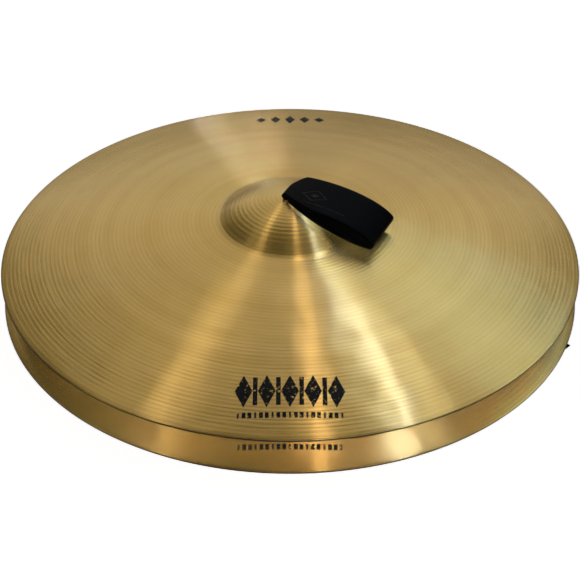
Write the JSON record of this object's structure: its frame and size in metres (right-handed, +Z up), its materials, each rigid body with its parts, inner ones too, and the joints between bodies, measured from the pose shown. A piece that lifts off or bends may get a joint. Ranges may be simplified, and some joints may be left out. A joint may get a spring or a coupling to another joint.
{
  "type": "hand cymbals",
  "caption": "Two bronze orchestral hand cymbals, one resting on the other, each with a folded leather hand strap knotted through its bell.",
  "frame": {"origin": "centre of the lower rim, on the surface that the pair stands on", "axes": "+Z up through both centre holes, +X along the upper hand strap, +Y along the lower hand strap"},
  "size_m": [0.4572, 0.4572, 0.0891],
  "materials": {
    "bronze": "lathed bronze with fine concentric grooves, satin",
    "leather": "smooth black strap leather, slight sheen"
  },
  "bodies": {
    "lower_cymbal": {"lower_cymbal": "bronze"},
    "lower_strap": {"lower_strap_neck": "leather", "lower_strap_knot": "leather", "lower_strap_tail_1": "leather", "lower_strap_tail_2": "leather", "lower_strap_tail_3": "leather", "lower_strap_tail_4": "leather"},
    "lower_grip": {"lower_strap_grip": "leather"},
    "upper_cymbal": {"upper_cymbal": "bronze"},
    "upper_strap": {"upper_strap_neck": "leather", "upper_strap_knot": "leather", "upper_strap_tail_1": "leather", "upper_strap_tail_2": "leather", "upper_strap_tail_3": "leather", "upper_strap_tail_4": "leather"},
    "upper_grip": {"upper_strap_grip": "leather"}
  },
  "joints": [
    {"name": "upper_cymbal_lift", "type": "slide", "parent": "lower_cymbal", "child": "upper_cymbal", "axis": [0, 0, 1], "range_m": [0, 0.3]},
    {"name": "upper_strap_turn", "type": "hinge", "parent": "upper_cymbal", "child": "upper_strap", "pos_m": [0, 0, 0.08205], "axis": [0, 0, 1], "continuous": true},
    {"name": "upper_grip_raise", "type": "hinge", "parent": "upper_strap", "child": "upper_grip", "pos_m": [0, 0, 0.0855], "axis": [0, -1, 0], "range_deg": [0, 175]},
    {"name": "lower_strap_turn", "type": "hinge", "parent": "lower_cymbal", "child": "lower_strap", "pos_m": [0, 0, 0.05275], "axis": [0, 0, 1], "continuous": true},
    {"name": "lower_grip_raise", "type": "hinge", "parent": "lower_strap", "child": "lower_grip", "pos_m": [0, 0, 0.0562], "axis": [1, 0, 0], "range_deg": [0, 90]}
  ],
  "couplings": [
    {"joint": "lower_grip_raise", "follows": "upper_cymbal_lift", "rad_per_m": 5.2359}
  ]
}
